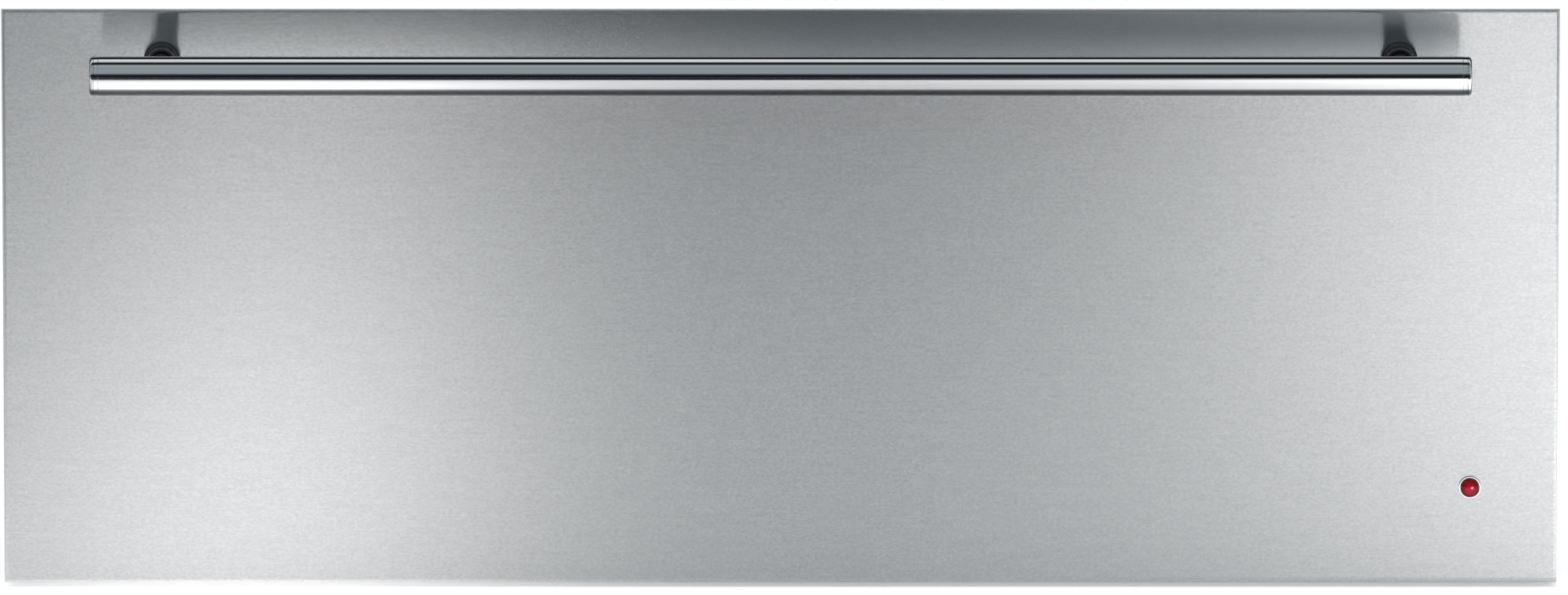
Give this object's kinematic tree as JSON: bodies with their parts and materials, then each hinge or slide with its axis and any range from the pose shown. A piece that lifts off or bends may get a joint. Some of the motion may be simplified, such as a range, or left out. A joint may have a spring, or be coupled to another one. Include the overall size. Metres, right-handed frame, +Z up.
{
  "type": "warming drawer",
  "caption": "Warming drawer with a brushed steel front, a bar handle, a pilot lamp and a heated tub on full-extension slides.",
  "frame": {"origin": "on the floor under the middle of the whole object", "axes": "+X right, -Y out of the front, +Z up"},
  "size_m": [0.595, 0.6244, 0.225],
  "materials": {
    "brushed_front": "horizontally brushed stainless steel",
    "polished_steel": "polished stainless steel",
    "lamp_chrome": "bright plated ring",
    "black_collar": "semi-gloss black moulding",
    "red_lens": "clear red moulded lens",
    "clear_acrylic": "clear rod",
    "tub_steel": "satin stainless steel",
    "galvanised": "galvanised sheet with faint spangle",
    "zinc_plated": "bright zinc plate",
    "screw_steel": "plated screw steel",
    "cage_steel": "yellow-passivated strip with steel balls",
    "black_enamel": "satin black enamel",
    "black_plastic": "fine-textured black moulding",
    "rocker_plastic": "smooth black moulding",
    "led_red": "red indicator",
    "gasket_rubber": "silicone rubber",
    "foot_rubber": "black rubber",
    "mat_rubber": "ribbed anti-slip rubber",
    "mineral_wool": "fibrous insulation",
    "cream_thermoset": "pale moulded thermoset",
    "motor_metal": "laminated steel with lacquer",
    "heater_sheath": "heat-tinted steel sheath",
    "red_sleeve": "glass-fibre sleeved wire"
  },
  "bodies": {
    "housing": {"base_pan": "galvanised", "left_side_panel": "galvanised", "right_side_panel": "galvanised", "top_cover": "galvanised", "rear_panel": "galvanised", "front_frame": "black_enamel", "left_inner_wall": "tub_steel", "right_inner_wall": "tub_steel", "rubber_feet": "foot_rubber", "housing_screws": "screw_steel", "control_moulding": "black_plastic", "switch_body": "black_plastic", "thermostat_body": "cream_thermoset", "pilot_led": "led_red", "left_outer_rail": "zinc_plated", "right_outer_rail": "zinc_plated", "fan_baffle": "tub_steel", "motor_plate": "galvanised", "fan_motor": "motor_metal", "ring_heater": "heater_sheath", "heater_clips": "zinc_plated", "safety_thermostat": "cream_thermoset", "terminal_box": "black_plastic", "terminal_cover": "black_plastic", "terminal_block": "cream_thermoset", "cable_gland": "black_plastic", "gland_nut": "black_plastic", "wiring_loom": "red_sleeve"},
    "drawer": {"front_panel": "brushed_front", "front_liner": "galvanised", "handle_stiffener": "zinc_plated", "insulation_pad": "mineral_wool", "handle_tube": "polished_steel", "handle_end_caps": "polished_steel", "left_handle_post": "polished_steel", "right_handle_post": "polished_steel", "handle_collars": "black_collar", "handle_screws": "screw_steel", "lamp_lens": "red_lens", "lamp_bezel": "lamp_chrome", "light_guide": "clear_acrylic", "door_gasket": "gasket_rubber", "stop_bumpers": "gasket_rubber", "drawer_tub": "tub_steel", "anti_slip_mat": "mat_rubber", "tub_brackets": "zinc_plated", "drawer_screws": "screw_steel", "left_inner_rail": "zinc_plated", "right_inner_rail": "zinc_plated"},
    "left_slide_middle": {"left_middle_rail": "zinc_plated"},
    "right_slide_middle": {"right_middle_rail": "zinc_plated"},
    "left_outer_balls": {"left_outer_cage": "cage_steel"},
    "right_outer_balls": {"right_outer_cage": "cage_steel"},
    "left_inner_balls": {"left_inner_cage": "cage_steel"},
    "right_inner_balls": {"right_inner_cage": "cage_steel"},
    "dial": {"thermostat_knob": "black_plastic", "thermostat_shaft": "screw_steel"},
    "rocker": {"rocker_button": "rocker_plastic"},
    "fan": {"fan_impeller": "galvanised", "motor_shaft": "screw_steel"}
  },
  "joints": [
    {"name": "drawer_slide", "type": "slide", "parent": "housing", "child": "drawer", "axis": [0, -1, 0], "range_m": [0, 0.43]},
    {"name": "left_middle_slide", "type": "slide", "parent": "housing", "child": "left_slide_middle", "axis": [0, -1, 0], "range_m": [0, 0.215]},
    {"name": "left_outer_ball_slide", "type": "slide", "parent": "housing", "child": "left_outer_balls", "axis": [0, -1, 0], "range_m": [0, 0.1075]},
    {"name": "left_inner_ball_slide", "type": "slide", "parent": "housing", "child": "left_inner_balls", "axis": [0, -1, 0], "range_m": [0, 0.3225]},
    {"name": "right_middle_slide", "type": "slide", "parent": "housing", "child": "right_slide_middle", "axis": [0, -1, 0], "range_m": [0, 0.215]},
    {"name": "right_outer_ball_slide", "type": "slide", "parent": "housing", "child": "right_outer_balls", "axis": [0, -1, 0], "range_m": [0, 0.1075]},
    {"name": "right_inner_ball_slide", "type": "slide", "parent": "housing", "child": "right_inner_balls", "axis": [0, -1, 0], "range_m": [0, 0.3225]},
    {"name": "dial_turn", "type": "hinge", "parent": "housing", "child": "dial", "pos_m": [0.249, -0.22775, 0.097], "axis": [0, 1, 0], "range_deg": [0, 270]},
    {"name": "rocker_tip", "type": "hinge", "parent": "housing", "child": "rocker", "pos_m": [0.249, -0.22175, 0.157], "axis": [-1, 0, 0], "range_deg": [0, 16]},
    {"name": "fan_spin", "type": "hinge", "parent": "housing", "child": "fan", "pos_m": [0, 0.23845, 0.1125], "axis": [0, 1, 0], "continuous": true}
  ],
  "couplings": [
    {"joint": "left_middle_slide", "follows": "drawer_slide", "ratio": 0.5},
    {"joint": "left_outer_ball_slide", "follows": "drawer_slide", "ratio": 0.25},
    {"joint": "left_inner_ball_slide", "follows": "drawer_slide", "ratio": 0.75},
    {"joint": "right_middle_slide", "follows": "drawer_slide", "ratio": 0.5},
    {"joint": "right_outer_ball_slide", "follows": "drawer_slide", "ratio": 0.25},
    {"joint": "right_inner_ball_slide", "follows": "drawer_slide", "ratio": 0.75}
  ]
}
